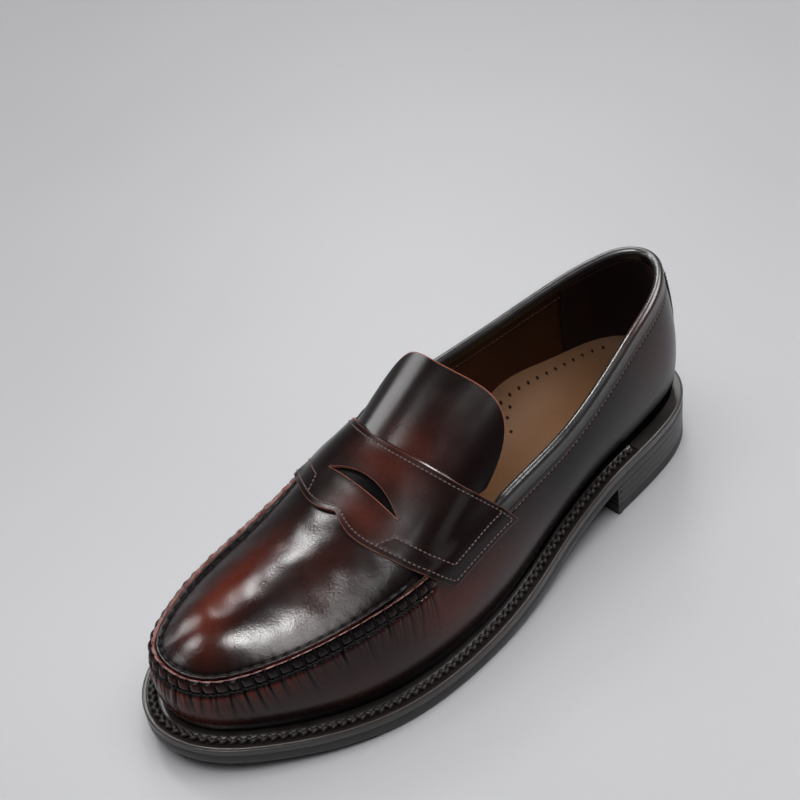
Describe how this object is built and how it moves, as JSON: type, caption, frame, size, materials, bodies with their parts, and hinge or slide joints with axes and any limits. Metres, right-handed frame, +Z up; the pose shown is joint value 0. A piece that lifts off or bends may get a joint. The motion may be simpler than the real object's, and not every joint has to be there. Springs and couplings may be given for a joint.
{
  "type": "penny loafer",
  "caption": "Left penny loafer with a moccasin plug, slotted saddle strap, flexing tongue, welted leather sole and stacked heel.",
  "frame": {"origin": "on the ground, under the middle of the sole's outline", "axes": "+Y from toe to heel, +X to the lateral (outer) side, +Z up"},
  "size_m": [0.1096, 0.2999, 0.105],
  "materials": {
    "upper_leather": "glossy brush-off oxblood, almost black at the edges",
    "sole_leather": "stained edge, semi-gloss",
    "welt_leather": "stained edge with a lighter bevel, semi-gloss",
    "heel_rubber": "matte",
    "nail_steel": "plain",
    "cork": "granular cork",
    "leatherboard": "matte board",
    "pad_foam": "open-cell foam",
    "sock_leather": "smooth tan, perforated along the edge",
    "lining_leather": "glossy brown",
    "heel_suede": "napped suede",
    "waxed_thread": "waxed, twisted"
  },
  "bodies": {
    "shoe": {"outsole": "sole_leather", "welt": "welt_leather", "heel_rand": "welt_leather", "heel_lift_1": "sole_leather", "heel_lift_2": "sole_leather", "heel_lift_3": "sole_leather", "heel_top_piece": "heel_rubber", "heel_nail_1": "nail_steel", "heel_nail_2": "nail_steel", "heel_nail_3": "nail_steel", "heel_nail_4": "nail_steel", "heel_nail_5": "nail_steel", "shank": "nail_steel", "cork_filler": "cork", "insole_board": "leatherboard", "heel_pad": "pad_foam", "sock_lining": "sock_leather", "vamp_wall": "upper_leather", "plug": "upper_leather", "seam_thread": "waxed_thread", "welt_stitch": "waxed_thread", "collar_piping": "upper_leather", "vamp_lining": "lining_leather", "quarter_lining_lateral": "lining_leather", "quarter_lining_medial": "lining_leather", "heel_grip": "heel_suede", "heel_counter": "leatherboard", "backstay": "upper_leather", "saddle": "upper_leather"},
    "tongue": {"tongue": "upper_leather"}
  },
  "joints": [
    {"name": "tongue_flex", "type": "hinge", "parent": "shoe", "child": "tongue", "pos_m": [0, -0.013, 0.077], "axis": [1, 0, 0], "range_deg": [-10, 18], "stiffness_Nm_per_rad": 0.05}
  ]
}
